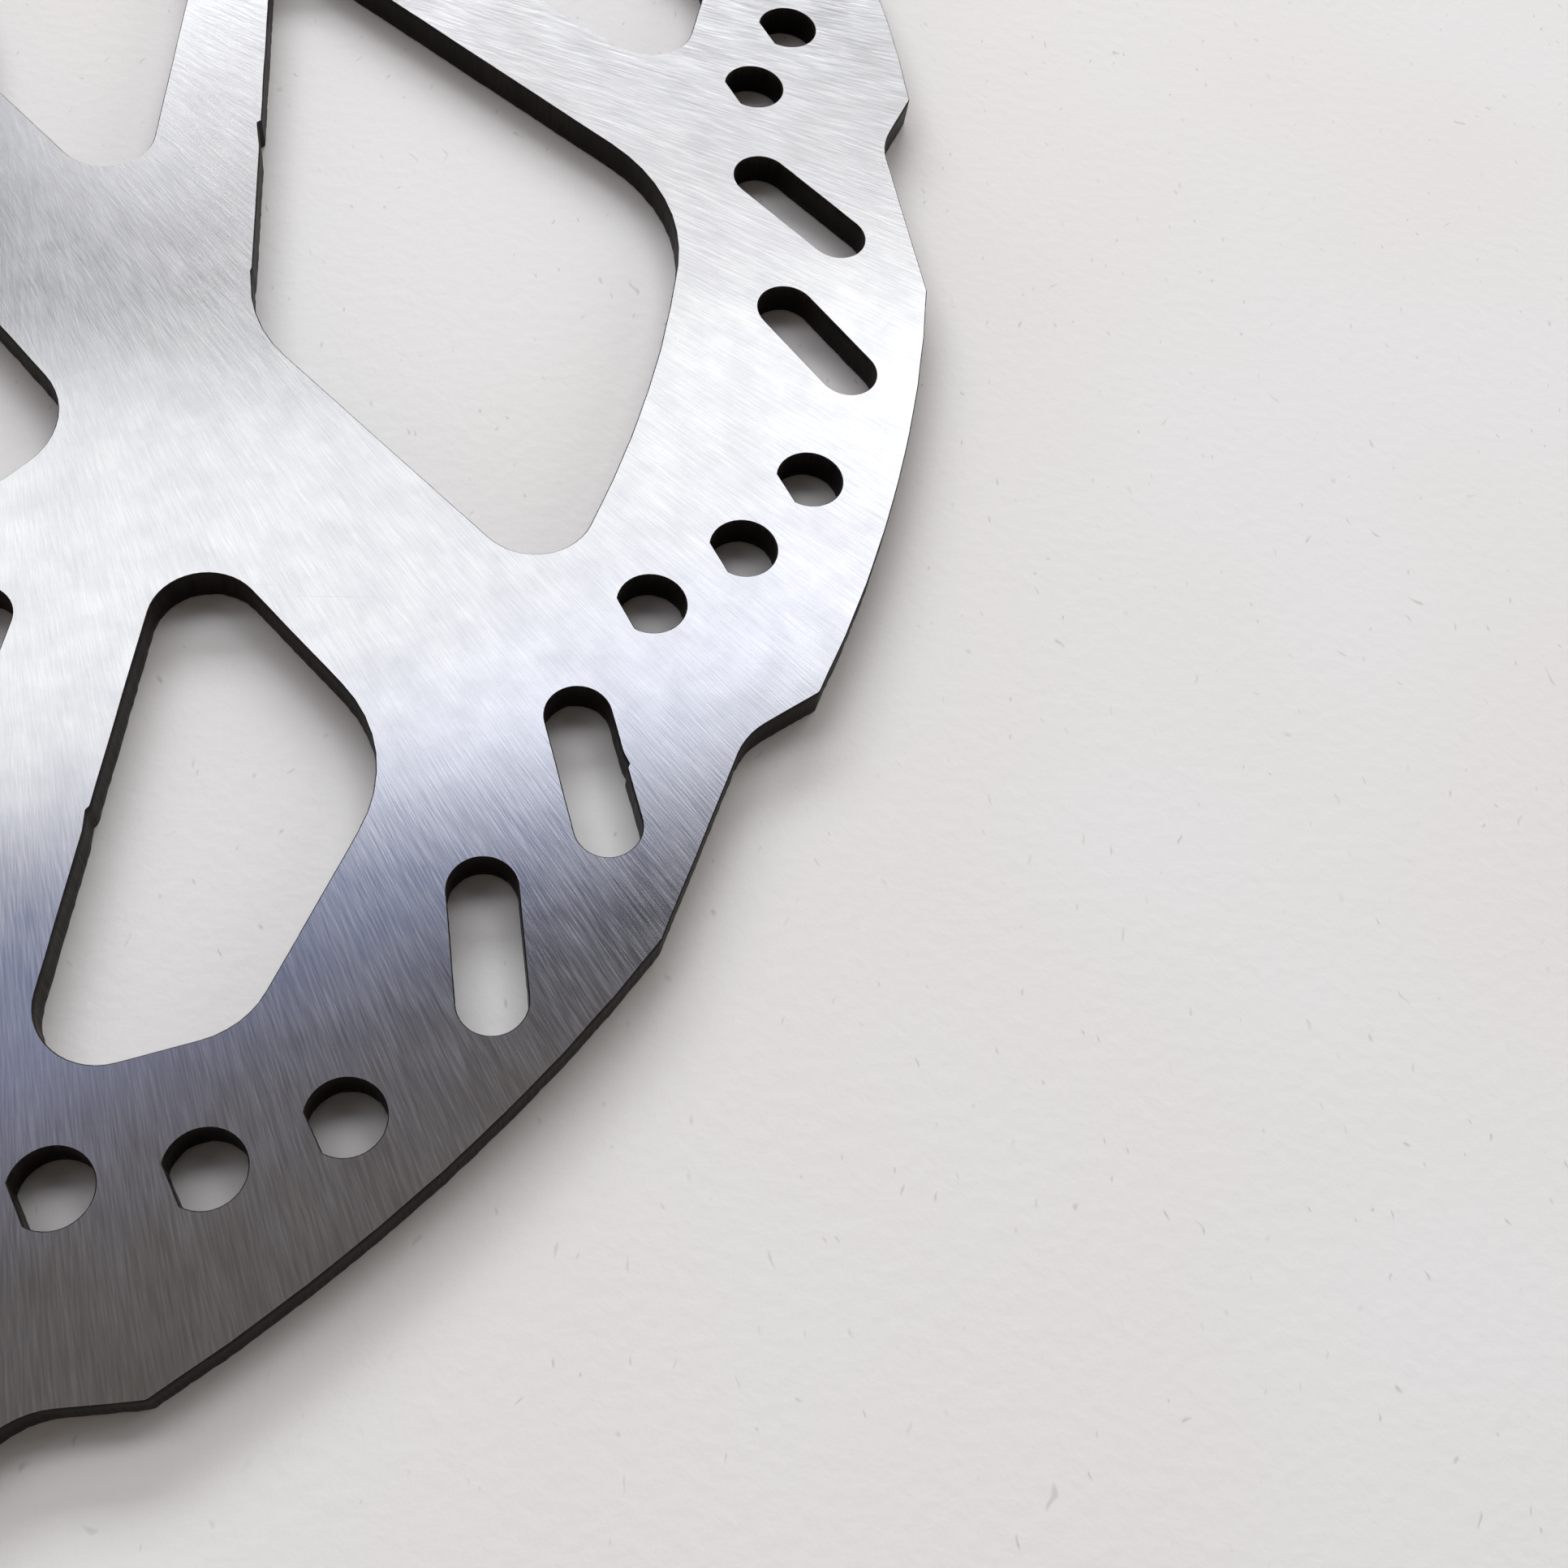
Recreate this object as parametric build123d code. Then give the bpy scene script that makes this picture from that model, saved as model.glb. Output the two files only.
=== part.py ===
from build123d import *
import math
import os

# A one-piece brake disc for a motorcycle, cut from a single flat plate.
# Millimetres. The origin is on the disc's axis, in the plane of its back face.
# +Z is the axis and points out of the front face. Angles are in degrees, counted
# anticlockwise from +X, seen from the front.

# Plate
disc_diameter = 270.0
plate_thickness = 3.0
track_width = 23.0           # band that the pads sweep, from the rim inwards

# What repeats round the disc
arm_count = 6                # arms, bolts and windows of each kind
vent_group_count = 12        # rim notches and groups of vents

# Hub
hub_bore_diameter = 58.0     # fits over the wheel hub's spigot
bolt_circle_diameter = 80.0
bolt_hole_diameter = 6.5
bolt_angle = 2.2             # the first bolt hole, at the root of its arm
bolt_wall = 4.75             # metal between a bolt hole and the windows outside it

# Outer window: its inner side is one side of a six-sided ring, half way out
ring_radius = 73.3           # from the axis square out to that side
ring_tilt = 1.2              # how far the side is turned from square
outer_window_inner_angles = (20.1, -18.8)
outer_window_rim_angles = (-27.8, -3.6)
outer_window_fillets = (16.5, 2.7, 12.3, 5.0)

# Inner window: its straight flanks are the sides of two neighbouring arms
arm_flank_meeting = (38.7, 49.6)         # radius and angle at which the flanks would meet
inner_window_insets = (8.4, 3.2, 2.0)    # its outer corners, from the ring inwards
inner_window_angles = (-12.1, 19.4, 29.7)
inner_window_fillets = (4.3, 56.0, 6.8)
inner_window_root_fillets = (8.0, 5.0)

# Lobed window between two outer windows, which runs out into the pad track
lobe_inner_gap = 9.7         # from the ring out to the lobe's inner corner
lobe_track_gaps = (-1.6, 6.0, 0.0)       # its other corners, outwards from the track's inner edge
lobe_angles = (-33.0, -37.2, -48.8, -56.0)
lobe_fillets = (4.3, 11.7, 6.4, 4.6)

# Rim notches: a short steep flank and a long shallow one
notch_depth = 3.55
notch_root_angle = 0.2
notch_steep_angle = 2.75     # from the root to the end of the steep flank
notch_shallow_angle = 7.9
notch_root_fillet = 6.0
notch_corner_fillet = 0.8

# Vents in one group: round holes and slots, placed by their insets from the rim
vent_hole_diameter = 5.6
vent_hole_insets = (7.4, 10.6, 15.4)
vent_hole_angles = (11.64, 7.55, 3.61)
vent_flat_depth = 0.5        # the short flat left where the cutting beam comes in
vent_flat_angle = 205.0      # the beam always comes in from this side
slot_width = 5.2
slot_insets = (12.1, 9.6)
slot_angles = (-3.85, -11.3)
slot_centre_distances = (9.8, 8.7)       # between the centres of a slot's two ends
slot_slant = 43.9            # a slot's turn from its radius

disc_radius = disc_diameter / 2
track_inner_radius = disc_radius - track_width
hub_outer_radius = (bolt_circle_diameter + bolt_hole_diameter) / 2 + bolt_wall
arm_step = 360 / arm_count
vent_step = 360 / vent_group_count


def at(radius, angle):
    """The point at a radius and an angle round the disc's axis."""
    turn = math.radians(angle)
    return Vector(radius * math.cos(turn), radius * math.sin(turn))


def arc(start, end, radius):
    """The arc about the disc's axis from one point to another."""
    return ThreePointArc(start, (start + end).normalized() * radius, end)


def beyond(start, end, radius):
    """Where the line from one point through another meets a circle about the axis."""
    along = (end - start).normalized()
    reach = start.dot(along)
    return start + along * (math.sqrt(reach ** 2 - start.length ** 2 + radius ** 2) - reach)


def largest_fillet(before, after):
    """The largest fillet that two sides which meet at a corner leave room for."""
    half_corner = math.radians(180 - (before % 1).get_angle(after % 0)) / 2
    return 0.49 * min(before.length, after.length) * math.tan(half_corner)


def rounded(sides, fillets):
    """The face inside a closed outline. Each fillet rounds the corner where its side starts."""
    face = make_face(sides).face()
    for index, (side, fillet_radius) in enumerate(zip(sides, fillets)):
        room = largest_fillet(sides[index - 1], side)
        vertex = face.vertices().sort_by_distance(side @ 0)[0]
        face = face.fillet_2d(min(fillet_radius, room), [vertex])
    return face


def inner_window():
    meeting = at(*arm_flank_meeting)
    near, elbow, far = [at(ring_radius - inset, angle)
                        for inset, angle in zip(inner_window_insets, inner_window_angles)]
    near_root = beyond(meeting, near, hub_outer_radius)
    far_root = beyond(meeting, far, hub_outer_radius)
    sides = Polyline(near_root, near, elbow, far, far_root).edges()
    sides.append(arc(far_root, near_root, hub_outer_radius).edge())
    near_root_fillet, far_root_fillet = inner_window_root_fillets
    return rounded(sides, (near_root_fillet, *inner_window_fillets, far_root_fillet))


def outer_window():
    tail, heel = [at(ring_radius / math.cos(math.radians(angle - ring_tilt)), angle)
                  for angle in outer_window_inner_angles]
    rim_heel, rim_tail = [at(track_inner_radius, angle) for angle in outer_window_rim_angles]
    sides = Polyline(rim_tail, tail, heel, rim_heel).edges()
    sides.append(arc(rim_heel, rim_tail, track_inner_radius).edge())
    return rounded(sides, outer_window_fillets)


def lobed_window():
    radii = [ring_radius + lobe_inner_gap]
    radii += [track_inner_radius + gap for gap in lobe_track_gaps]
    corners = [at(radius, angle) for radius, angle in zip(radii, lobe_angles)]
    return rounded(Polyline(*corners, close=True).edges(), lobe_fillets)


def rim_notch():
    root = at(disc_radius - notch_depth, notch_root_angle)
    steep_end = at(disc_radius, notch_root_angle + notch_steep_angle)
    shallow_end = at(disc_radius, notch_root_angle - notch_shallow_angle)
    # Both flanks run on past the rim, so that the cut leaves no skin behind
    past_steep = steep_end * 2 - root
    past_shallow = shallow_end * 2 - root
    shallow_flank, steep_flank = Polyline(past_shallow, root, past_steep).edges()
    outside = Line(past_steep, past_shallow).edge()
    return rounded([steep_flank, outside, shallow_flank], [notch_root_fillet])


def vent_hole():
    radius = vent_hole_diameter / 2
    beyond_flat = Pos(2 * radius - vent_flat_depth, 0) * Rectangle(2 * radius, 2 * radius)
    return Rot(0, 0, vent_flat_angle) * (Circle(radius) - beyond_flat)


def vent_holes():
    """Every vent hole: the holes go round the disc, but their flats all face one way."""
    hole = vent_hole()
    return [Pos(at(disc_radius - inset, angle + group * vent_step)) * hole
            for group in range(vent_group_count)
            for inset, angle in zip(vent_hole_insets, vent_hole_angles)]


def slots():
    return [Pos(at(disc_radius - inset, angle)) * Rot(0, 0, angle - slot_slant)
            * SlotCenterToCenter(length, slot_width)
            for inset, angle, length in zip(slot_insets, slot_angles, slot_centre_distances)]


def round_the_disc(faces, count, step):
    return [Rot(0, 0, index * step) * face for index in range(count) for face in faces]


def brake_disc():
    blank = Circle(disc_radius)
    blank -= round_the_disc([rim_notch()], vent_group_count, vent_step)
    rim_corners = [vertex for vertex in blank.vertices()
                   if abs(Vector(vertex).length - disc_radius) < 0.001]
    blank = fillet(rim_corners, notch_corner_fillet)

    blank -= round_the_disc(slots(), vent_group_count, vent_step) + vent_holes()
    blank -= round_the_disc([inner_window(), outer_window(), lobed_window()], arm_count, arm_step)

    bolt_hole = Pos(at(bolt_circle_diameter / 2, bolt_angle)) * Circle(bolt_hole_diameter / 2)
    blank -= round_the_disc([bolt_hole], arm_count, arm_step)
    blank -= Circle(hub_bore_diameter / 2)
    return extrude(blank, plate_thickness).solid()


disc = brake_disc()
disc.label = "brake_disc"

os.makedirs("parts", exist_ok=True)
export_step(disc, "parts/brake_disc.step")
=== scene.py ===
import bpy
import bmesh
import math
from mathutils import Euler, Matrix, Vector


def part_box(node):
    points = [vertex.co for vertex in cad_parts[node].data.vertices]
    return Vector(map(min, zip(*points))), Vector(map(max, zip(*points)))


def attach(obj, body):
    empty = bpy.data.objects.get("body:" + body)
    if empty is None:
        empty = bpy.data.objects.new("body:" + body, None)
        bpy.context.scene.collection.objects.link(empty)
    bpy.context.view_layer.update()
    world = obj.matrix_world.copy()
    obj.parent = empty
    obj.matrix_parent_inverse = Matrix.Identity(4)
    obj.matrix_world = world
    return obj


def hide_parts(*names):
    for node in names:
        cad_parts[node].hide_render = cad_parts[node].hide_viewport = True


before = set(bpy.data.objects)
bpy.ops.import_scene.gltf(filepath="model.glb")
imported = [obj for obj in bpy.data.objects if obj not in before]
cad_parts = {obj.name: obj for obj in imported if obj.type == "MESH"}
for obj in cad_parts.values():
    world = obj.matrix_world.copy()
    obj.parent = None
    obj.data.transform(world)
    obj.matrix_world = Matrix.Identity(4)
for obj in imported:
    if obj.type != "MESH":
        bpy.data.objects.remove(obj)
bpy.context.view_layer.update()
mm = 0.001
# short names for the kinds of node that come up most
maths, vectors, combine = "ShaderNodeMath", "ShaderNodeVectorMath", "ShaderNodeCombineXYZ"
noise, remap, mix, mapping = "ShaderNodeTexNoise", "ShaderNodeMapRange", "ShaderNodeMix", "ShaderNodeMapping"


def hexColour(code):  # sRGB hex to linear, with alpha
    parts = [int(code[i:i + 2], 16) / 255 for i in (1, 3, 5)]
    return tuple(c / 12.92 if c <= 0.04045 else ((c + 0.055) / 1.055) ** 2.4 for c in parts) + (1.0,)


def addNode(tree, kind, inputs=(), **settings):
    # inputs come in socket order or by name; a node stands for its first live output, a list for more links
    node = tree.nodes.new(kind)
    for name, value in settings.items():
        setattr(node, name, value)
    for key, value in (inputs.items() if isinstance(inputs, dict) else enumerate(inputs)):
        for source in value if isinstance(value, list) else [value]:
            if isinstance(source, bpy.types.Node):
                source = next(output for output in source.outputs if output.enabled)
            if isinstance(source, bpy.types.NodeSocket):
                tree.links.new(source, node.inputs[key])
            else:
                node.inputs[key].default_value = source
    return node


def link(holder):
    bpy.context.scene.collection.objects.link(holder)
    return holder


def newMaterial(name):
    material = bpy.data.materials.new(name)
    material.use_nodes = True
    material.node_tree.nodes.clear()
    return material, material.node_tree


# The plate is cut with a beam and its faces are ground afterwards
discPlate = {
    "node": "brake_disc",
    "longestStep": 0.42 * mm,   # straight sides are divided this finely
    "edgeBreak": 0.09 * mm,     # width of the broken edge along both faces
    "wallRows": 5,              # rows of points down a cut wall
    "grooveDepth": 0.09 * mm,   # upright lines that the cutting beam leaves
    "groovePitch": 0.6 * mm,
    "grooveLean": 0.35 * mm,    # how far the lines trail from front to back
    "grooveStart": 0.4,         # share of the groove depth at the front face
    "grooveGrowth": 1.8,        # how much the share grows by down to the back face
    "waviness": 0.045 * mm,     # how far the beam wandered off its line
    "wavePitch": 4.5 * mm,
    "weld": 0.002 * mm,         # rows of points this close are joined
    "sameSpot": 0.001 * mm,     # corners of the plain plate this close are one
    "nickTaper": 1.3,           # above 1, a nick runs out thin
    "seed": 7,
    # Where the beam started and stopped: radius, angle, length and depth of the nick,
    # and how many times it comes round the disc
    "cutMarks": (
        (73.6 * mm, -0.7, 3.4 * mm, 0.42 * mm, 6),
        (75.9 * mm, -14.4, 1.6 * mm, 0.16 * mm, 6),
        (97.9 * mm, -47.3, 1.8 * mm, 0.25 * mm, 6),
        (124.8 * mm, -33.1, 1.3 * mm, 0.3 * mm, 6),
        (124.2 * mm, -34.0, 0.9 * mm, -0.16 * mm, 6),
    ),
}


def plateOutlines():  # closed outlines of the front face, with the metal on their left
    plate = bmesh.new()
    plate.from_mesh(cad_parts[discPlate["node"]].data)
    bmesh.ops.remove_doubles(plate, verts=plate.verts, dist=discPlate["sameSpot"])
    following = {}
    for face in plate.faces:
        if face.normal.z < 0.9:  # only the front face
            continue
        for loop in face.loops:
            if any(abs(other.normal.z) < 0.5 for other in loop.edge.link_faces):  # beside a wall
                following[loop.vert.index] = loop.link_loop_next.vert.index
    places = {vert.index: vert.co.xy.copy() for vert in plate.verts if vert.index in following}
    plate.free()
    outlines = []
    while following:
        start = min(following)
        corners = [start]
        while following[corners[-1]] != start:
            corners.append(following[corners[-1]])
        points = []
        for here, there in zip(corners, corners[1:] + corners[:1]):
            side = places[there] - places[here]
            pieces = max(1, math.ceil(side.length / discPlate["longestStep"]))
            points += [places[here] + side * (i / pieces) for i in range(pieces)]
            del following[here]
        outlines.append(points)
    return outlines


def markCuts(outlines):  # nicks with one steep end, that run out along the way the beam came
    for radius, angle, length, depth, count in discPlate["cutMarks"]:
        for turn in range(count):
            bearing = math.radians(angle + turn * 360 / count)
            centre = Vector((radius * math.cos(bearing), radius * math.sin(bearing)))
            for points in outlines:
                for i, point in enumerate(points):
                    if (point - centre).length >= length:
                        continue
                    along = (points[(i + 1) % len(points)] - points[i - 1]).normalized()
                    behind = Vector((-along.y, along.x))
                    reach = (centre - point).dot(along) / length
                    if 0 <= reach < 1:
                        points[i] = point + behind * depth * (1 - reach) ** discPlate["nickTaper"]
    return outlines


def outlineCurves(outlines):
    curves = bpy.data.curves.new("discOutline", "CURVE")
    curves.dimensions = "3D"
    for points in outlines:
        spline = curves.splines.new("POLY")
        spline.points.add(len(points) - 1)
        spline.points.foreach_set("co", [c for point in points for c in (point.x, point.y, 0.0, 1.0)])
        spline.use_cyclic_u = True
    return link(bpy.data.objects.new("discOutline", curves))


def plateTree():  # walls are swept along the outlines, and the faces are filled between them
    tree = bpy.data.node_groups.new("cutPlate", "GeometryNodeTree")
    for name, kind in (
            ("Outlines", "Object"), ("Thickness", "Float"), ("Edge Break", "Float"), ("Wall Rows", "Int"),
            ("Groove Depth", "Float"), ("Groove Pitch", "Float"), ("Groove Lean", "Float"),
            ("Groove Start", "Float"), ("Groove Growth", "Float"),
            ("Waviness", "Float"), ("Wave Pitch", "Float"), ("Weld", "Float"), ("Seed", "Int"),
            ("Face Finish", "Material"), ("Wall Finish", "Material")):
        tree.interface.new_socket(name, in_out="INPUT", socket_type="NodeSocket" + kind)
    tree.interface.new_socket("Plate", in_out="OUTPUT", socket_type="NodeSocketGeometry")
    given = addNode(tree, "NodeGroupInput").outputs

    outlines = addNode(tree, "GeometryNodeObjectInfo", {"Object": given["Outlines"]}).outputs["Geometry"]
    tangent = addNode(tree, "GeometryNodeInputTangent")
    place = addNode(tree, "GeometryNodeInputPosition")
    square = addNode(tree, vectors, [tangent, (0.0, 0.0, 1.0)], operation="CROSS_PRODUCT")
    outward = addNode(tree, vectors, [square], operation="NORMALIZE")

    # the beam's slow wander, to either side of its line
    perWave = addNode(tree, maths, [1.0, given["Wave Pitch"]], operation="DIVIDE")
    wander = addNode(tree, noise, {"Vector": place, "W": given["Seed"], "Scale": perWave, "Detail": 1.0},
                     noise_dimensions="4D")
    wander = addNode(tree, maths, [wander, 0.5], operation="SUBTRACT")
    wander = addNode(tree, maths, [wander, given["Waviness"]], operation="MULTIPLY")
    wander = addNode(tree, maths, [wander, 2.0], operation="MULTIPLY")
    wander = addNode(tree, vectors, {0: outward, "Scale": wander}, operation="SCALE")
    cut = addNode(tree, "GeometryNodeSetPosition", {"Geometry": outlines, "Offset": wander})

    rail = addNode(tree, "GeometryNodeCaptureAttribute", {"Geometry": cut}, domain="POINT")
    for name, source in (("railPlace", place), ("railSide", outward)):
        rail.capture_items.new("VECTOR", name)
        tree.links.new(source.outputs[0], rail.inputs[name])
    railPlace, railSide = rail.outputs["railPlace"], rail.outputs["railSide"]

    # a profile of numbered points, from the front face over the wall to the back face
    rows = addNode(tree, maths, [given["Wall Rows"], 2.0], operation="ADD")
    profile = addNode(tree, "GeometryNodeCurvePrimitiveLine")
    profile = addNode(tree, "GeometryNodeResampleCurve", {"Curve": profile, "Count": rows})
    numbered = addNode(tree, "GeometryNodeCaptureAttribute", {"Geometry": profile}, domain="POINT")
    numbered.capture_items.new("FLOAT", "row")
    tree.links.new(addNode(tree, "GeometryNodeInputIndex").outputs[0], numbered.inputs["row"])
    row = numbered.outputs["row"]
    walls = addNode(tree, "GeometryNodeCurveToMesh", {
        "Curve": rail.outputs["Geometry"], "Profile Curve": numbered.outputs["Geometry"]})

    beforeLast = addNode(tree, maths, [given["Wall Rows"], 0.5], operation="ADD")
    firstRow = addNode(tree, maths, [row, 0.5], operation="LESS_THAN")
    finalRow = addNode(tree, maths, [row, beforeLast], operation="GREATER_THAN")
    onFace = addNode(tree, maths, [firstRow, finalRow], operation="ADD")
    onWall = addNode(tree, maths, [1.0, onFace], operation="SUBTRACT")
    upOrDown = addNode(tree, maths, [firstRow, finalRow], operation="SUBTRACT")
    depth = addNode(tree, remap, {"Value": row, "From Min": 1.0, "From Max": given["Wall Rows"]})
    left = addNode(tree, maths, [1.0, depth], operation="SUBTRACT")
    breaks = addNode(tree, maths, [given["Edge Break"], 2.0], operation="MULTIPLY")
    wallHeight = addNode(tree, maths, [given["Thickness"], breaks], operation="SUBTRACT")
    height = addNode(tree, maths, [left, wallHeight, given["Edge Break"]], operation="MULTIPLY_ADD")
    height = addNode(tree, maths, [upOrDown, given["Edge Break"], height], operation="MULTIPLY_ADD")

    # upright grooves, shallower near the front face where the beam came in
    lean = addNode(tree, maths, [depth, given["Groove Lean"]], operation="MULTIPLY")
    lean = addNode(tree, combine, {"Z": lean})
    leaning = addNode(tree, vectors, [railPlace, lean], operation="ADD")
    perGroove = addNode(tree, maths, [1.0, given["Groove Pitch"]], operation="DIVIDE")
    groove = addNode(tree, noise, {"Vector": leaning, "W": given["Seed"], "Scale": perGroove, "Detail": 2.0},
                     noise_dimensions="4D")
    groove = addNode(tree, maths, [groove, 0.5], operation="SUBTRACT")
    groove = addNode(tree, maths, [groove, given["Groove Depth"]], operation="MULTIPLY")
    deeper = addNode(tree, maths, [depth, given["Groove Growth"], given["Groove Start"]],
                     operation="MULTIPLY_ADD")
    groove = addNode(tree, maths, [groove, deeper], operation="MULTIPLY")
    groove = addNode(tree, maths, [groove, onWall], operation="MULTIPLY")
    drawnIn = addNode(tree, maths, [onFace, given["Edge Break"]], operation="MULTIPLY")
    sideways = addNode(tree, maths, [groove, drawnIn], operation="SUBTRACT")
    sideways = addNode(tree, vectors, {0: railSide, "Scale": sideways}, operation="SCALE")
    raised = addNode(tree, combine, {"Z": height})
    newPlace = addNode(tree, vectors, [railPlace, sideways], operation="ADD")
    newPlace = addNode(tree, vectors, [newPlace, raised], operation="ADD")
    walls = addNode(tree, "GeometryNodeSetPosition", {"Geometry": walls, "Position": newPlace})
    walls = addNode(tree, "GeometryNodeStoreNamedAttribute", {
        "Geometry": walls, "Name": "cutDepth", "Value": depth}, data_type="FLOAT", domain="POINT")
    walls = addNode(tree, "GeometryNodeSetShadeSmooth", {"Geometry": walls, "Shade Smooth": True})
    walls = addNode(tree, "GeometryNodeCaptureAttribute", {"Geometry": walls}, domain="FACE")
    walls.capture_items.new("BOOLEAN", "isWall")
    walls.inputs["isWall"].default_value = True

    # both faces, drawn in by the broken edge
    inset = addNode(tree, maths, [given["Edge Break"], -1.0], operation="MULTIPLY")
    inset = addNode(tree, vectors, {0: railSide, "Scale": inset}, operation="SCALE")
    inset = addNode(tree, "GeometryNodeSetPosition", {"Geometry": rail.outputs["Geometry"], "Offset": inset})
    back = addNode(tree, "GeometryNodeFillCurve", {"Curve": inset})
    lift = addNode(tree, combine, {"Z": given["Thickness"]})
    front = addNode(tree, "GeometryNodeTransform", {"Geometry": back, "Translation": lift})
    back = addNode(tree, "GeometryNodeFlipFaces", {"Mesh": back})
    faces = addNode(tree, "GeometryNodeJoinGeometry", [[back, front]])
    faces = addNode(tree, "GeometryNodeSetShadeSmooth", {"Geometry": faces, "Shade Smooth": False})

    whole = addNode(tree, "GeometryNodeJoinGeometry", [[faces, walls.outputs["Geometry"]]])
    whole = addNode(tree, "GeometryNodeMergeByDistance", {"Geometry": whole, "Distance": given["Weld"]})
    whole = addNode(tree, "GeometryNodeRealizeInstances", {"Geometry": whole})
    whole = addNode(tree, "GeometryNodeSetMaterial", {"Geometry": whole, "Material": given["Face Finish"]})
    whole = addNode(tree, "GeometryNodeSetMaterial", {
        "Geometry": whole, "Selection": walls.outputs["isWall"], "Material": given["Wall Finish"]})
    addNode(tree, "NodeGroupOutput", {"Plate": whole})
    return tree


def makePlate(faceFinish, wallFinish):
    low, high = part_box(discPlate["node"])
    outlines = markCuts(plateOutlines())
    outline = outlineCurves(outlines)
    carrier = link(bpy.data.objects.new("discCarrier", bpy.data.meshes.new("discCarrier")))
    cutting = carrier.modifiers.new("cutPlate", "NODES")
    cutting.node_group = plateTree()
    values = {
        "Outlines": outline, "Thickness": high.z - low.z, "Edge Break": discPlate["edgeBreak"],
        "Wall Rows": discPlate["wallRows"], "Groove Depth": discPlate["grooveDepth"],
        "Groove Pitch": discPlate["groovePitch"], "Groove Lean": discPlate["grooveLean"],
        "Groove Start": discPlate["grooveStart"], "Groove Growth": discPlate["grooveGrowth"],
        "Waviness": discPlate["waviness"], "Wave Pitch": discPlate["wavePitch"], "Weld": discPlate["weld"],
        "Seed": discPlate["seed"], "Face Finish": faceFinish, "Wall Finish": wallFinish,
    }
    for item in cutting.node_group.interface.items_tree:
        if item.in_out == "INPUT":
            cutting[item.identifier] = values[item.name]
    bpy.context.view_layer.update()
    ready = carrier.evaluated_get(bpy.context.evaluated_depsgraph_get())
    mesh = bpy.data.meshes.new_from_object(ready)
    mesh.name = "groundDisc"
    bpy.data.objects.remove(carrier)
    bpy.data.objects.remove(outline)
    check = bmesh.new()
    check.from_mesh(mesh)
    loose = sum(not edge.is_manifold for edge in check.edges)
    volume = check.calc_volume(signed=True) / mm ** 3
    triangles = len(check.calc_loop_triangles())
    check.free()
    print(f"plate: {len(outlines)} outlines, {triangles} triangles, {loose} open edges, {volume:.0f} mm3")
    return link(bpy.data.objects.new("groundDisc", mesh))


groundFace = {
    "circles": (40 * mm, 50 * mm),  # the two sets of marks run along tangents of these circles
    "trueRadius": 100 * mm,         # where round the disc the marks have their true pitch
    "markPitch": 0.12 * mm,         # real marks are finer; this is as coarse as it takes to see them
    "markLength": 3.6 * mm,
    "markShare": 0.2,               # how far the marks' colour covers the steel, at most
    "crossMarkShare": 0.16,
    "broadMarkShare": 0.05,
    "broadMarkWidth": 3.5,          # times the pitch
    "broadMarkLength": 1.3,         # times the length
    "cloudSize": 2.6 * mm,          # patches of the oil film that handling leaves
    "cloudShare": 0.6,
    "hazeSize": 22 * mm,
    "hazeShare": 0.4,
    "dullSize": 4 * mm,             # dull patches where cutting fluid dried
    "dullShare": 0.2,
    "hairlineWidth": 0.2 * mm,
    "hairlineShape": 0.012,         # width over length
    "hairlineTurn": -4,             # degrees
    "hairlineShare": 0.3,
    "steel": "#BABBBC",
    "film": "#B1B2B5",
    "mark": "#74757A",
    "broadMark": "#85868B",
    "dull": "#8F9096",
    "hairline": "#8E8E92",
    "roughness": (0.165, 0.195),    # in the marks and between them
    "crossRoughness": 0.01,         # what the crossing marks take or add
    "filmRoughness": (-0.012, 0.024),
    "relief": 0.006 * mm,
    "reliefStrength": 0.45,
    "sheenStretch": 0.35,           # how much further the sheen blurs across the marks
}


def grindField(tree, place, circle):  # position turned into a heading and a distance along the marks
    east, north = addNode(tree, "ShaderNodeSeparateXYZ", [place]).outputs[:2]
    radius = addNode(tree, vectors, [place], operation="LENGTH").outputs["Value"]
    bearing = addNode(tree, maths, [north, east], operation="ARCTAN2")
    share = addNode(tree, maths, [circle, radius], operation="DIVIDE")
    share = addNode(tree, maths, [share, 1.0], operation="MINIMUM")
    lean = addNode(tree, maths, [share], operation="ARCSINE")
    heading = addNode(tree, maths, [bearing, lean], operation="SUBTRACT")
    forward = addNode(tree, maths, [lean], operation="COSINE")
    return {
        "east": addNode(tree, maths, [heading], operation="COSINE"),
        "north": addNode(tree, maths, [heading], operation="SINE"),
        "along": addNode(tree, maths, [radius, forward], operation="MULTIPLY"),
    }


def marks(tree, field, pitch, length, detail, seed):  # streaks of about that width and length
    perPitch = groundFace["trueRadius"] / pitch
    spot = addNode(tree, combine, [
        addNode(tree, maths, [field["east"], perPitch], operation="MULTIPLY"),
        addNode(tree, maths, [field["north"], perPitch], operation="MULTIPLY"),
        addNode(tree, maths, [field["along"], 1 / length], operation="MULTIPLY")])
    return addNode(tree, noise, {
        "Vector": spot, "W": seed, "Scale": 1.0, "Detail": detail, "Roughness": 0.6}, noise_dimensions="4D")


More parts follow.
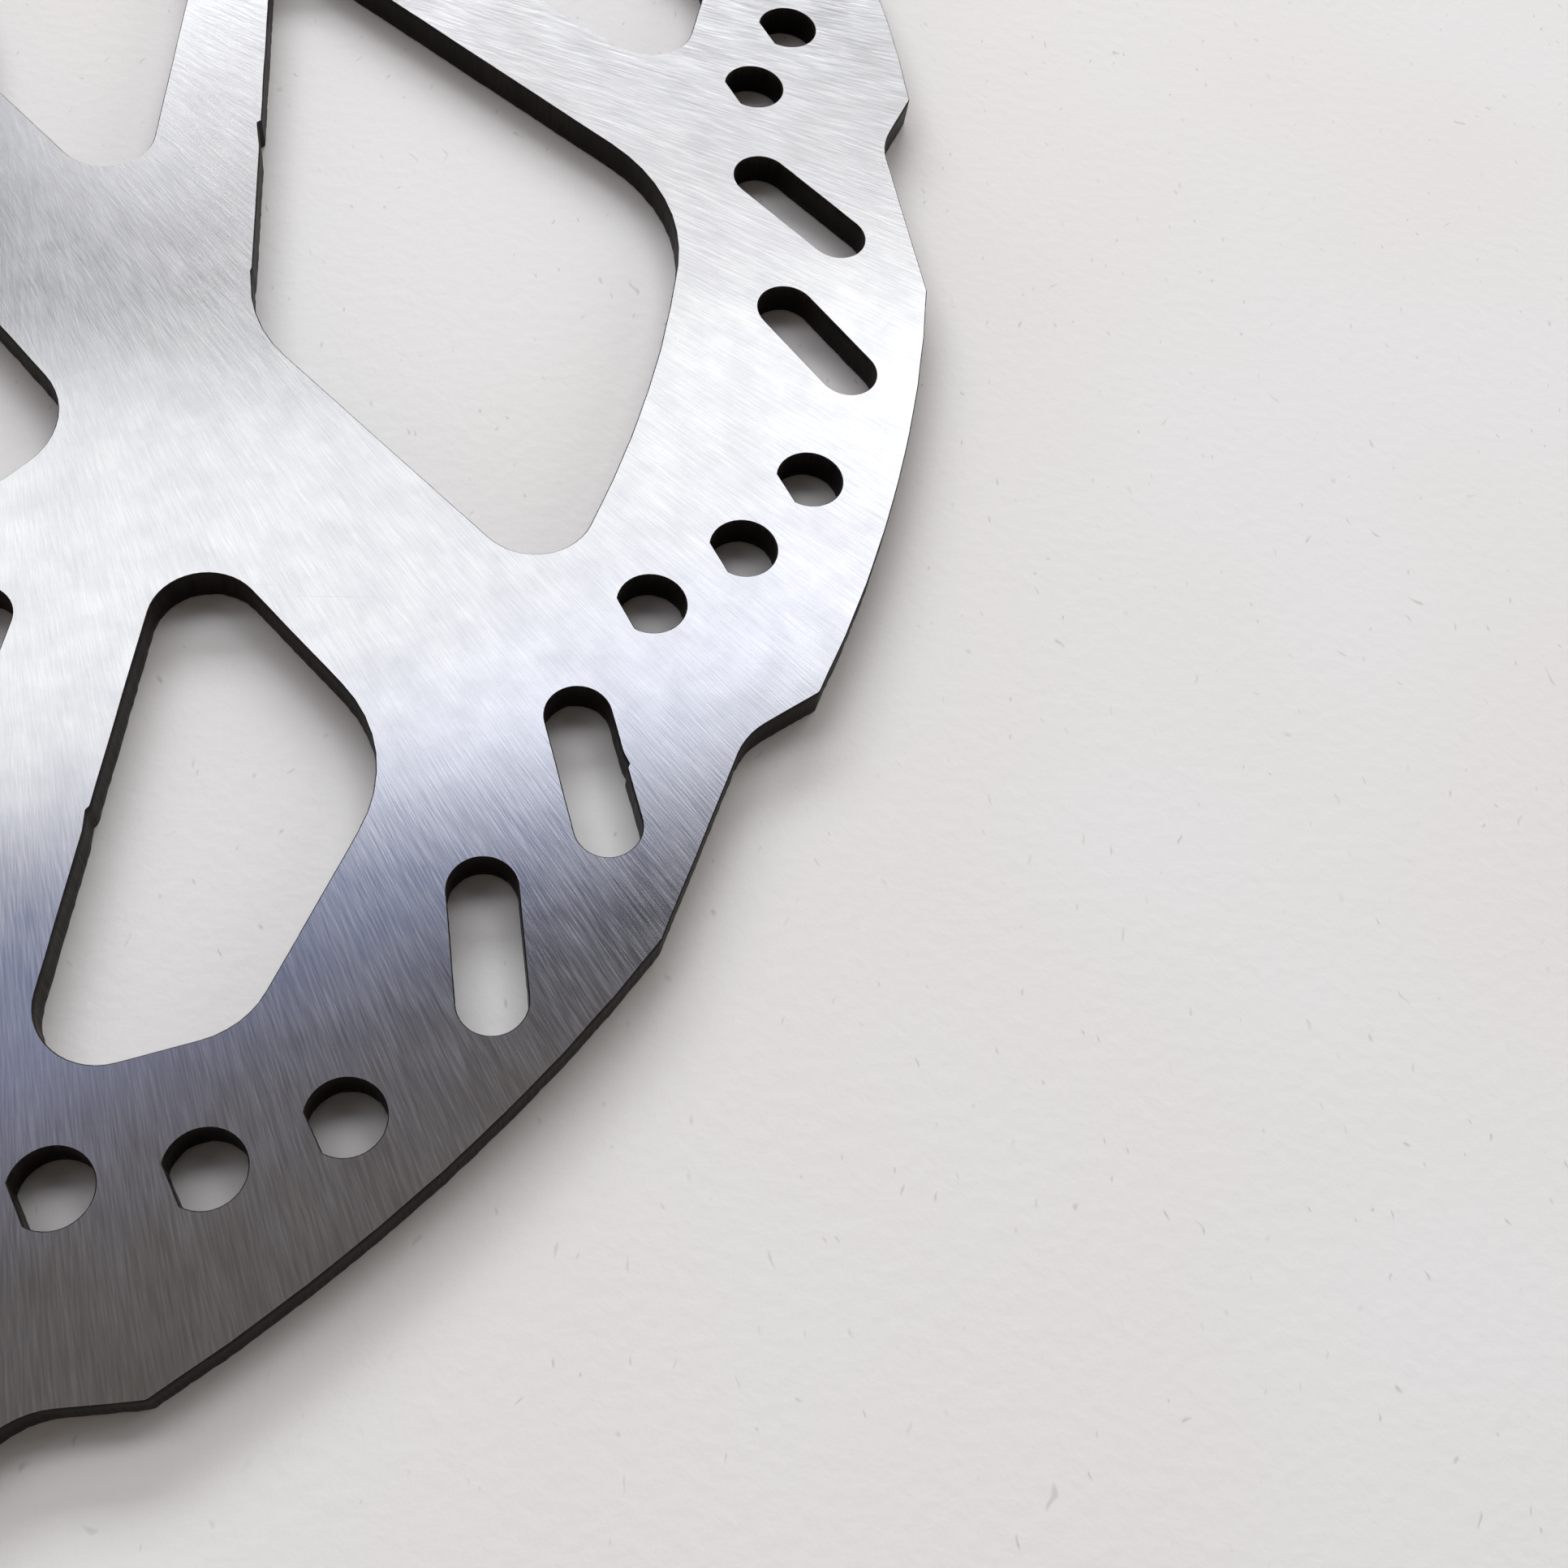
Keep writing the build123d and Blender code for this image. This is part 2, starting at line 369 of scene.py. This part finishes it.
def groundSteelFinish():
    # Martensitic stainless steel, surface ground: a soft silver sheen that blurs across fine crossing marks
    material, tree = newMaterial("groundStainlessSteel")
    place = addNode(tree, "ShaderNodeTexCoord").outputs["Object"]
    pitch, length = groundFace["markPitch"], groundFace["markLength"]
    field, crossField = [grindField(tree, place, circle) for circle in groundFace["circles"]]
    fine = marks(tree, field, pitch, length, 1.0, 1.0)
    finer = marks(tree, crossField, pitch, length, 0.0, 3.0)
    broad = marks(tree, field, groundFace["broadMarkWidth"] * pitch,
                  groundFace["broadMarkLength"] * length, 2.0, 4.0)

    # an oil film in clouds, and hairline scratches that cross the grinding; each W is a pattern's seed
    cloud = addNode(tree, noise, {
        "Vector": place, "W": 2.0, "Scale": 1 / groundFace["cloudSize"], "Detail": 4.0, "Roughness": 0.5},
        noise_dimensions="4D")
    haze = addNode(tree, noise, {
        "Vector": place, "W": 5.0, "Scale": 1 / groundFace["hazeSize"], "Detail": 3.0, "Roughness": 0.6},
        noise_dimensions="4D")
    cloud = addNode(tree, remap, [cloud, 0.35, 0.68, 0.0, groundFace["cloudShare"]])
    haze = addNode(tree, remap, [haze, 0.35, 0.65, 0.0, groundFace["hazeShare"]])
    film = addNode(tree, maths, [cloud, haze], operation="ADD")
    turned = addNode(tree, mapping, {
        "Vector": place, "Rotation": (0.0, 0.0, math.radians(groundFace["hairlineTurn"])),
        "Scale": (groundFace["hairlineShape"], 1.0, 1.0)})
    hairline = addNode(tree, noise, {
        "Vector": turned, "W": 8.0, "Scale": 1 / groundFace["hairlineWidth"], "Detail": 0.0},
        noise_dimensions="4D")
    hairline = addNode(tree, remap, [hairline, 0.8, 0.84, 0.0, groundFace["hairlineShare"]])

    tone = addNode(tree, mix, {"Factor": film, 6: hexColour(groundFace["steel"]),
                               7: hexColour(groundFace["film"])}, data_type="RGBA")
    for streaks, share, colour in (
            (fine, "markShare", "mark"), (finer, "crossMarkShare", "mark"),
            (broad, "broadMarkShare", "broadMark")):
        share = addNode(tree, remap, [streaks, 0.34, 0.66, groundFace[share], 0.0])
        tone = addNode(tree, mix, {"Factor": share, 6: tone, 7: hexColour(groundFace[colour])},
                       data_type="RGBA")
    dried = addNode(tree, noise, {
        "Vector": place, "W": 9.0, "Scale": 1 / groundFace["dullSize"], "Detail": 5.0, "Roughness": 0.65},
        noise_dimensions="4D")
    dried = addNode(tree, remap, [dried, 0.42, 0.64, 0.0, groundFace["dullShare"]])
    tone = addNode(tree, mix, {"Factor": dried, 6: tone, 7: hexColour(groundFace["dull"])}, data_type="RGBA")
    tone = addNode(tree, mix, {"Factor": hairline, 6: tone, 7: hexColour(groundFace["hairline"])},
                   data_type="RGBA")

    crossing = groundFace["crossRoughness"]
    rough = addNode(tree, remap, [fine, 0.34, 0.66, *groundFace["roughness"]])
    crossRough = addNode(tree, remap, [finer, 0.34, 0.66, -crossing, crossing])
    filmRough = addNode(tree, remap, [film, 0.15, 0.85, *groundFace["filmRoughness"]])
    rough = addNode(tree, maths, [rough, crossRough], operation="ADD")
    rough = addNode(tree, maths, [rough, filmRough], operation="ADD")
    relief = addNode(tree, maths, [fine, finer], operation="ADD")
    bump = addNode(tree, "ShaderNodeBump", {
        "Strength": groundFace["reliefStrength"], "Distance": groundFace["relief"], "Height": relief})
    backwards = addNode(tree, maths, [field["north"], -1.0], operation="MULTIPLY")
    across = addNode(tree, combine, [backwards, field["east"]])
    shader = addNode(tree, "ShaderNodeBsdfPrincipled", {
        "Base Color": tone, "Metallic": 1.0, "Roughness": rough, "Normal": bump, "Tangent": across,
        "Anisotropic": groundFace["sheenStretch"]})
    addNode(tree, "ShaderNodeOutputMaterial", {"Surface": shader})
    return material


cutEdge = {
    "linePitch": 0.3 * mm,  # upright lines of the cut
    "lineShape": 0.06,      # width over height
    "lineRelief": 0.04 * mm,
    "lineReliefStrength": 0.6,
    "patchSize": 3.0 * mm,
    "patchShare": 0.6,
    "deepShare": 0.5,       # how far the wall darkens down to the back face
    "oxide": "#120F0E",
    "paleOxide": "#2A2420",
    "darkPatch": "#0C0A09",
    "deepest": "#0A0808",
    "roughness": (0.42, 0.6),
    "gloss": 0.14,
}


def cutWallFinish():
    # Iron oxide on a beam-cut edge: brown-black and dull, with upright lines that barely catch the light
    material, tree = newMaterial("oxidisedCutEdge")
    place = addNode(tree, "ShaderNodeTexCoord").outputs["Object"]
    upright = addNode(tree, mapping, {"Vector": place, "Scale": (1.0, 1.0, cutEdge["lineShape"])})
    lines = addNode(tree, noise, {"Vector": upright, "Scale": 1 / cutEdge["linePitch"], "Detail": 3.0})
    patches = addNode(tree, noise, {"Vector": place, "Scale": 1 / cutEdge["patchSize"], "Detail": 3.0})
    depth = addNode(tree, "ShaderNodeAttribute", attribute_name="cutDepth").outputs["Fac"]
    pale = addNode(tree, remap, [lines, 0.35, 0.65, 0.0, 1.0])
    dark = addNode(tree, remap, [patches, 0.4, 0.7, 0.0, cutEdge["patchShare"]])
    deep = addNode(tree, maths, [depth, cutEdge["deepShare"]], operation="MULTIPLY")
    tone = addNode(tree, mix, {"Factor": pale, 6: hexColour(cutEdge["oxide"]),
                               7: hexColour(cutEdge["paleOxide"])}, data_type="RGBA")
    tone = addNode(tree, mix, {"Factor": dark, 6: tone, 7: hexColour(cutEdge["darkPatch"])},
                   data_type="RGBA")
    tone = addNode(tree, mix, {"Factor": deep, 6: tone, 7: hexColour(cutEdge["deepest"])}, data_type="RGBA")
    rough = addNode(tree, remap, [lines, 0.3, 0.7, *cutEdge["roughness"]])
    bump = addNode(tree, "ShaderNodeBump", {
        "Strength": cutEdge["lineReliefStrength"], "Distance": cutEdge["lineRelief"], "Height": lines})
    shader = addNode(tree, "ShaderNodeBsdfPrincipled", {
        "Base Color": tone, "Roughness": rough, "Specular IOR Level": cutEdge["gloss"], "Normal": bump})
    addNode(tree, "ShaderNodeOutputMaterial", {"Surface": shader})
    return material


board = {
    "half": 4.0,               # metres, from the middle to a side
    "drop": 0.02 * mm,         # keeps the board's top clear of the disc's back face
    "grainSize": 1.2 * mm,
    "grain": 0.08 * mm,
    "grainStrength": 0.5,
    "tintSize": 60 * mm,
    "speckSpacing": 3.0 * mm,
    "speckBend": 5 * mm,
    "speckShape": 0.4,         # width over length
    "speckSize": (0.012, 0.05),  # where a speck starts to fade and where it ends, as shares of the spacing
    "speckShare": 0.34,
    "paint": "#F1EFED",
    "freshPaint": "#F3F3F2",
    "speck": "#8E8B87",
    "roughness": 0.75,
}


def paintedBoardFinish():
    # Painted board: matt warm white with a faint grain and a few short dark specks
    material, tree = newMaterial("paintedBoard")
    place = addNode(tree, "ShaderNodeTexCoord").outputs["Object"]
    grain = addNode(tree, noise, {"Vector": place, "Scale": 1 / board["grainSize"], "Detail": 3.0})
    tint = addNode(tree, noise, {"Vector": place, "Scale": 1 / board["tintSize"], "Detail": 2.0})
    bend = addNode(tree, noise, {"Vector": place, "Scale": 1 / board["speckBend"]}).outputs["Color"]
    bend = addNode(tree, vectors, {0: bend, "Scale": board["speckBend"]}, operation="SCALE")
    bent = addNode(tree, vectors, [place, bend], operation="ADD")
    squeezed = addNode(tree, mapping, {"Vector": bent, "Scale": (1.0, board["speckShape"], 1.0)})
    specks = addNode(tree, "ShaderNodeTexVoronoi", {
        "Vector": squeezed, "Scale": 1 / board["speckSpacing"]}, voronoi_dimensions="2D")
    crowd = addNode(tree, noise, {"Vector": place, "Scale": 0.25 / board["speckSpacing"], "Detail": 1.0})
    specks = addNode(tree, remap, [specks, *board["speckSize"], board["speckShare"], 0.0])
    crowd = addNode(tree, remap, [crowd, 0.4, 0.6, 0.15, 1.0])
    speckled = addNode(tree, maths, [specks, crowd], operation="MULTIPLY")
    tinted = addNode(tree, remap, [tint, 0.35, 0.65, 0.0, 1.0])
    tone = addNode(tree, mix, {"Factor": tinted, 6: hexColour(board["paint"]),
                               7: hexColour(board["freshPaint"])}, data_type="RGBA")
    tone = addNode(tree, mix, {"Factor": speckled, 6: tone, 7: hexColour(board["speck"])}, data_type="RGBA")
    bump = addNode(tree, "ShaderNodeBump", {
        "Strength": board["grainStrength"], "Distance": board["grain"], "Height": grain})
    shader = addNode(tree, "ShaderNodeBsdfPrincipled", {
        "Base Color": tone, "Roughness": board["roughness"], "Normal": bump})
    addNode(tree, "ShaderNodeOutputMaterial", {"Surface": shader})
    return material


def makeFloor():
    mesh = bpy.data.meshes.new("floorBoard")
    half, height = board["half"], -board["drop"]
    corners = [(x, y, height) for x, y in ((-half, -half), (half, -half), (half, half), (-half, half))]
    mesh.from_pydata(corners, [], [(0, 1, 2, 3)])
    mesh.materials.append(paintedBoardFinish())
    return link(bpy.data.objects.new("floorBoard", mesh))


# Upright softboxes round the disc, as windows would light it: name, bearing,
# lowest and highest angle, width, distance, brightness, colour
softboxes = (
    ("highWindow", 98, 48, 62.5, 9.4, 3.0, 2.28, "#FCFCFC"),
    ("middleWindow", 74, 37, 48, 4.2, 3.0, 1.55, "#FEFCFA"),
    ("middleWindowLeft", 128, 37, 48, 3.4, 3.0, 0.45, "#F4F7FF"),
    ("lowWindow", 96, 19, 31.5, 1.71, 1.6, 13.6, "#FAFBFF"),
    ("leftWindow", 162, 42, 60, 2.6, 3.0, 0.8, "#F8FAFF"),
    ("rightWindow", 18, 12, 32, 3.0, 3.0, 1.5, "#FBFCFC"),
    ("rightHighWindow", 44, 45, 60, 2.2, 3.0, 1.5, "#F8FAFF"),
    ("ceilingGlow", 116, 61.5, 68.5, 6.4, 3.0, 0.74, "#A8B6EE"),
)

# The room: dim patches overhead, a pale band low down all round, and warm dimness above it
ceiling = (  # name, place, size, brightness, colour
    ("ceilingPatch", (-0.75, 0.6, 3.0), (2.8, 1.0), 0.26, "#DED4CA"),
    ("overheadPatch", (0.0, -0.5, 3.0), (1.8, 1.2), 0.4, "#F3EEE8"),
)
room = {
    "bandColour": "#F1EEEA",
    "bandBrightness": 0.95,
    "bandFrom": 0.12,  # heights as sines of the angle above the floor
    "bandTo": 0.6,
    "airColour": "#D6AE90",
    "airBrightness": 0.03,
}


def makeSoftbox(name, size, brightness, colour):
    lamp = bpy.data.lights.new(name, "AREA")
    lamp.shape = "RECTANGLE"
    lamp.size, lamp.size_y = size
    lamp.energy = brightness * math.pi * size[0] * size[1]
    lamp.color = hexColour(colour)[:3]
    return link(bpy.data.objects.new(name, lamp))


def makeLights():
    for name, bearing, lowAngle, highAngle, width, distance, brightness, colour in softboxes:
        bottom, top = [distance * math.tan(math.radians(angle)) for angle in (lowAngle, highAngle)]
        turn = math.radians(bearing)
        lamp = makeSoftbox(name, (width, top - bottom), brightness, colour)
        lamp.location = (distance * math.cos(turn), distance * math.sin(turn), (bottom + top) / 2)
        lamp.rotation_euler = Euler((math.pi / 2, 0, turn + math.pi / 2))
    for name, place, size, brightness, colour in ceiling:
        makeSoftbox(name, size, brightness, colour).location = place


def makeRoom():
    world = bpy.data.worlds.new("room")
    bpy.context.scene.world = world
    world.use_nodes = True
    tree = world.node_tree
    tree.nodes.clear()
    direction = addNode(tree, "ShaderNodeTexCoord").outputs["Generated"]
    height = addNode(tree, "ShaderNodeSeparateXYZ", [direction]).outputs["Z"]
    band = addNode(tree, remap, [height, room["bandFrom"], room["bandTo"], 1.0, 0.0],
                   interpolation_type="SMOOTHSTEP")
    colour = addNode(tree, mix, {"Factor": band, 6: hexColour(room["airColour"]),
                                 7: hexColour(room["bandColour"])}, data_type="RGBA")
    strength = addNode(tree, maths, [band, room["bandBrightness"], room["airBrightness"]],
                       operation="MULTIPLY_ADD")
    air = addNode(tree, "ShaderNodeBackground", {"Color": colour, "Strength": strength})
    addNode(tree, "ShaderNodeOutputWorld", {"Surface": air})


view = {
    "place": (95.79 * mm, -134.37 * mm, 123.56 * mm),
    "turn": (28.489, -7.662, -4.138),  # degrees
    "lens": 41.15,
    "sensor": 36.0,
    "nearest": 10 * mm,
}


def makeCamera():
    lens = bpy.data.cameras.new("view")
    lens.lens, lens.sensor_width, lens.clip_start = view["lens"], view["sensor"], view["nearest"]
    camera = link(bpy.data.objects.new("view", lens))
    camera.location = view["place"]
    camera.rotation_euler = Euler([math.radians(angle) for angle in view["turn"]])
    bpy.context.scene.camera = camera


bpy.context.scene.view_settings.view_transform = "Standard"
makeCamera()
makeLights()
makeRoom()
floor = makeFloor()
print("room ready")

disc = makePlate(groundSteelFinish(), cutWallFinish())
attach(disc, "root")
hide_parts("brake_disc")
print("disc ready")
